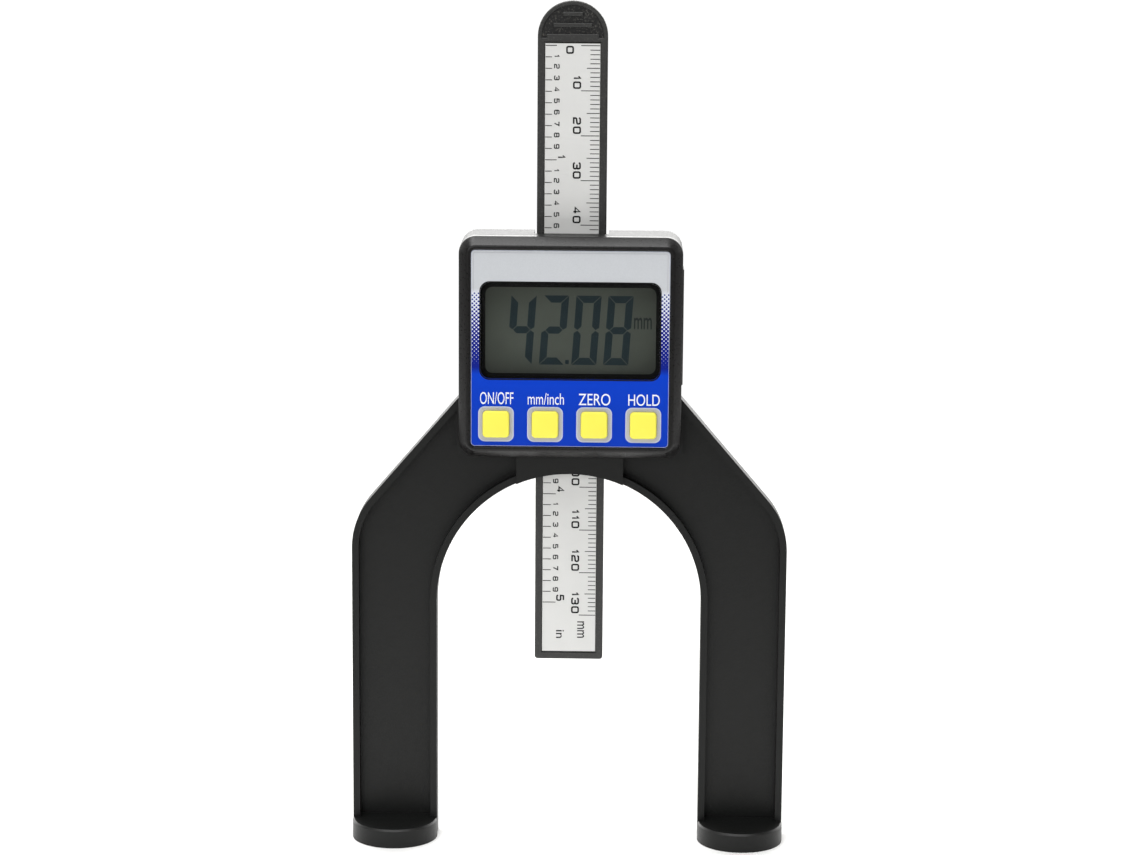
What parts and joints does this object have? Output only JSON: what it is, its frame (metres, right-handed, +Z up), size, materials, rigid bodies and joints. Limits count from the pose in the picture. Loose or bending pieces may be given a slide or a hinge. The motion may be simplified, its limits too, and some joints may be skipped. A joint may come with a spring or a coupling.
{
  "type": "table saw height gauge",
  "caption": "Digital height and depth gauge on an arched two-footed stand, with a sliding graduated beam, a display and square keys.",
  "frame": {"origin": "on the surface that the feet stand on, under the middle of the object's box", "axes": "+X to the right as the display is read, +Y from the display to the back, +Z up along the beam"},
  "size_m": [0.0994, 0.024, 0.1924],
  "materials": {
    "case_plastic": "moulded, fine texture",
    "cover_plastic": "moulded, satin",
    "key_plastic": "moulded, satin",
    "printed_label": "printed film",
    "scale_label": "printed satin film",
    "window": "clear",
    "display": "satin polariser",
    "rubber": "matte",
    "laminate": "solder mask",
    "epoxy": "glossy drop",
    "brass": "plain",
    "steel": "nickel plated"
  },
  "bodies": {
    "stand": {"arch_frame": "case_plastic", "foot_magnet_left": "steel", "foot_magnet_right": "steel", "front_cover": "cover_plastic", "face_label": "printed_label", "lcd_window": "window", "lcd_cell": "display", "lcd_holder": "cover_plastic", "zebra_upper": "rubber", "zebra_lower": "rubber", "main_pcb": "laminate", "reader_electrodes": "brass", "chip_cap": "epoxy", "quartz_crystal": "steel", "key_dome_1": "steel", "key_dome_2": "steel", "key_dome_3": "steel", "key_dome_4": "steel", "contact_front": "steel", "contact_back": "steel", "back_plate": "case_plastic", "guide_spring": "steel", "cover_screw_1": "steel", "cover_screw_2": "steel", "cover_screw_3": "steel", "cover_screw_4": "steel", "plate_screw_1": "steel", "plate_screw_2": "steel", "plate_screw_3": "steel", "plate_screw_4": "steel", "pcb_screw_1": "steel", "pcb_screw_2": "steel"},
    "beam": {"beam": "case_plastic", "encoder_strip": "laminate", "scale_label": "scale_label"},
    "key_on_off": {"key_on_off": "key_plastic"},
    "key_units": {"key_units": "key_plastic"},
    "key_zero": {"key_zero": "key_plastic"},
    "key_hold": {"key_hold": "key_plastic"},
    "battery_drawer": {"battery_drawer": "case_plastic", "button_cell": "steel"},
    "lock_pad": {"lock_pad": "brass"},
    "lock_screw": {"lock_stud": "steel", "lock_knob": "cover_plastic"}
  },
  "joints": [
    {"name": "beam_slide", "type": "slide", "parent": "stand", "child": "beam", "axis": [0, 0, 1], "range_m": [-0.0379, 0.0495]},
    {"name": "key_on_off_press", "type": "slide", "parent": "stand", "child": "key_on_off", "axis": [0, 1, 0], "range_m": [0, 0.0005], "stiffness_N_per_m": 400},
    {"name": "key_units_press", "type": "slide", "parent": "stand", "child": "key_units", "axis": [0, 1, 0], "range_m": [0, 0.0005], "stiffness_N_per_m": 400},
    {"name": "key_zero_press", "type": "slide", "parent": "stand", "child": "key_zero", "axis": [0, 1, 0], "range_m": [0, 0.0005], "stiffness_N_per_m": 400},
    {"name": "key_hold_press", "type": "slide", "parent": "stand", "child": "key_hold", "axis": [0, 1, 0], "range_m": [0, 0.0005], "stiffness_N_per_m": 400},
    {"name": "drawer_slide", "type": "slide", "parent": "stand", "child": "battery_drawer", "axis": [1, 0, 0], "range_m": [0, 0.0145]},
    {"name": "lock_press", "type": "slide", "parent": "stand", "child": "lock_pad", "axis": [0, 1, 0], "range_m": [-0.000249, 0.0004]},
    {"name": "lock_turn", "type": "hinge", "parent": "lock_pad", "child": "lock_screw", "pos_m": [0, 0.00485, 0.1156], "axis": [0, 1, 0], "range_deg": [-120, 180]}
  ],
  "couplings": [
    {"joint": "lock_press", "follows": "lock_turn", "m_per_rad": 0.00011141}
  ]
}
